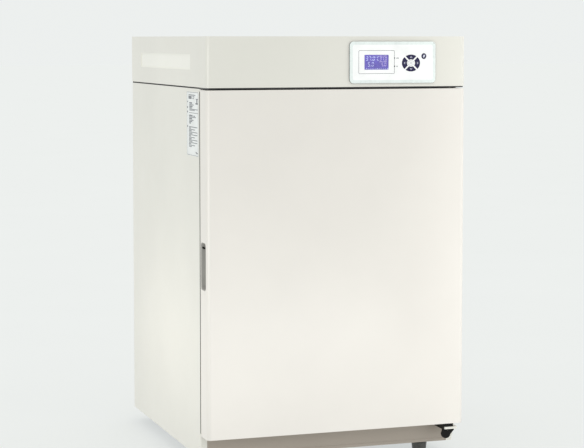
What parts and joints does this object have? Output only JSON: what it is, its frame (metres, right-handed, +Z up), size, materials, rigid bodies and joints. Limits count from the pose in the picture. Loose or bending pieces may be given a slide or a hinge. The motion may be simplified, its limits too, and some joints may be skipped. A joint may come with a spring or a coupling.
{
  "type": "laboratory incubator",
  "caption": "Upright laboratory incubator with a heated steel chamber, glass inner door, thick outer door, keypad control head and levelling feet.",
  "frame": {"origin": "on the floor under the centre of the outline in plan", "axes": "+Z up, the door and control panel face -Y, +X to the right seen from the front"},
  "size_m": [0.59, 0.688, 0.94],
  "materials": {
    "cream_paint": "satin",
    "inlay_paint": "satin",
    "stainless_steel": "satin",
    "zinc_sheet": "satin",
    "black_rubber": "matte",
    "grey_gasket": "matte",
    "black_plastic": "satin",
    "grey_plastic": "satin",
    "sensor_plastic": "satin",
    "silicone": "matte",
    "bezel_plastic": "satin",
    "overlay_film": "satin",
    "key_plastic": "satin",
    "centre_key_plastic": "satin",
    "lcd_clear": "gloss",
    "lcd_panel": "satin",
    "circuit_board": "satin",
    "mineral_wool": "matte",
    "motor_casting": "satin",
    "heater_steel": "matte",
    "brass_fitting": "satin",
    "bronze_bush": "satin",
    "tempered_glass": "gloss",
    "label_film": "satin"
  },
  "bodies": {
    "cabinet": {"left_side_panel": "cream_paint", "right_side_panel": "cream_paint", "rear_panel": "cream_paint", "base_pan": "zinc_sheet", "kick_panel": "cream_paint", "top_deck": "zinc_sheet", "front_frame": "cream_paint", "chamber_liner": "stainless_steel", "chamber_gasket": "black_rubber", "insulation": "mineral_wool", "shelf_rails": "stainless_steel", "duct_cover": "stainless_steel", "duct_heater": "heater_steel", "fan_motor": "motor_casting", "temperature_probe": "stainless_steel", "co2_sensor": "sensor_plastic", "port_sleeve": "sensor_plastic", "glass_hinge_brackets": "stainless_steel", "door_hinge_brackets": "cream_paint", "hinge_caps": "black_plastic", "head_cover": "cream_paint", "head_floor": "zinc_sheet", "head_rear_panel": "cream_paint", "head_side_inlays": "inlay_paint", "control_bezel": "bezel_plastic", "control_overlay": "overlay_film", "lcd_window": "lcd_clear", "lcd_module": "lcd_panel", "led_lamps": "grey_plastic", "key_board": "circuit_board", "control_board": "circuit_board", "gas_inlet": "brass_fitting", "power_entry_module": "black_plastic", "screws": "stainless_steel", "side_label": "label_film"},
    "door": {"door_shell": "cream_paint", "door_inner_panel": "cream_paint", "door_insulation": "mineral_wool", "door_gasket": "grey_gasket", "door_pull_cup": "grey_plastic", "door_hinge_bushes": "bronze_bush"},
    "glass_door": {"glass_pane": "tempered_glass", "glass_hinge_leaves": "stainless_steel", "glass_door_knob": "black_plastic"},
    "upper_shelf": {"shelf_upper": "stainless_steel"},
    "lower_shelf": {"shelf_lower": "stainless_steel"},
    "pan": {"water_pan": "stainless_steel"},
    "fan_rotor": {"fan_impeller": "black_plastic"},
    "up_key": {"key_up": "key_plastic"},
    "down_key": {"key_down": "key_plastic"},
    "left_key": {"key_left": "key_plastic"},
    "right_key": {"key_right": "key_plastic"},
    "centre_key": {"key_centre": "centre_key_plastic"},
    "power_key": {"key_power": "key_plastic"},
    "front_left_foot": {"foot_front_left": "black_rubber"},
    "front_right_foot": {"foot_front_right": "black_rubber"},
    "rear_left_foot": {"foot_rear_left": "black_rubber"},
    "rear_right_foot": {"foot_rear_right": "black_rubber"},
    "rocker": {"rocker_switch": "black_plastic"},
    "plug": {"port_plug": "silicone"}
  },
  "joints": [
    {"name": "door_swing", "type": "hinge", "parent": "cabinet", "child": "door", "pos_m": [0.277, -0.318, 0.45], "axis": [0, 0, 1], "range_deg": [0, 100]},
    {"name": "glass_door_swing", "type": "hinge", "parent": "cabinet", "child": "glass_door", "pos_m": [0.23, -0.276, 0.45], "axis": [0, 0, 1], "range_deg": [0, 95]},
    {"name": "upper_shelf_slide", "type": "slide", "parent": "cabinet", "child": "upper_shelf", "axis": [0, -1, 0], "range_m": [0, 0.125]},
    {"name": "lower_shelf_slide", "type": "slide", "parent": "cabinet", "child": "lower_shelf", "axis": [0, -1, 0], "range_m": [0, 0.125]},
    {"name": "pan_slide", "type": "slide", "parent": "cabinet", "child": "pan", "axis": [0, -1, 0], "range_m": [0, 0.125]},
    {"name": "fan_spin", "type": "hinge", "parent": "cabinet", "child": "fan_rotor", "pos_m": [0, 0.2, 0.45], "axis": [0, 1, 0], "continuous": true},
    {"name": "up_key_press", "type": "slide", "parent": "cabinet", "child": "up_key", "axis": [0, 1, 0], "range_m": [0, 0.0006], "stiffness_N_per_m": 1500},
    {"name": "down_key_press", "type": "slide", "parent": "cabinet", "child": "down_key", "axis": [0, 1, 0], "range_m": [0, 0.0006], "stiffness_N_per_m": 1500},
    {"name": "left_key_press", "type": "slide", "parent": "cabinet", "child": "left_key", "axis": [0, 1, 0], "range_m": [0, 0.0006], "stiffness_N_per_m": 1500},
    {"name": "right_key_press", "type": "slide", "parent": "cabinet", "child": "right_key", "axis": [0, 1, 0], "range_m": [0, 0.0006], "stiffness_N_per_m": 1500},
    {"name": "centre_key_press", "type": "slide", "parent": "cabinet", "child": "centre_key", "axis": [0, 1, 0], "range_m": [0, 0.0006], "stiffness_N_per_m": 1500},
    {"name": "power_key_press", "type": "slide", "parent": "cabinet", "child": "power_key", "axis": [0, 1, 0], "range_m": [0, 0.0006], "stiffness_N_per_m": 1500},
    {"name": "front_left_foot_screw", "type": "slide", "parent": "cabinet", "child": "front_left_foot", "axis": [0, 0, -1], "range_m": [0, 0.012]},
    {"name": "front_right_foot_screw", "type": "slide", "parent": "cabinet", "child": "front_right_foot", "axis": [0, 0, -1], "range_m": [0, 0.012]},
    {"name": "rear_left_foot_screw", "type": "slide", "parent": "cabinet", "child": "rear_left_foot", "axis": [0, 0, -1], "range_m": [0, 0.012]},
    {"name": "rear_right_foot_screw", "type": "slide", "parent": "cabinet", "child": "rear_right_foot", "axis": [0, 0, -1], "range_m": [0, 0.012]},
    {"name": "rocker_tilt", "type": "hinge", "parent": "cabinet", "child": "rocker", "pos_m": [0.217, 0.315, 0.8795], "axis": [1, 0, 0], "range_deg": [-18, 0]},
    {"name": "plug_pull", "type": "slide", "parent": "cabinet", "child": "plug", "axis": [0, 1, 0], "range_m": [0, 0.06]}
  ],
  "couplings": [
    {"joint": "glass_door_swing", "follows": "door_swing", "ratio": 0.95},
    {"joint": "upper_shelf_slide", "follows": "door_swing", "m_per_rad": 0.07},
    {"joint": "lower_shelf_slide", "follows": "door_swing", "m_per_rad": 0.07},
    {"joint": "pan_slide", "follows": "door_swing", "m_per_rad": 0.07}
  ]
}
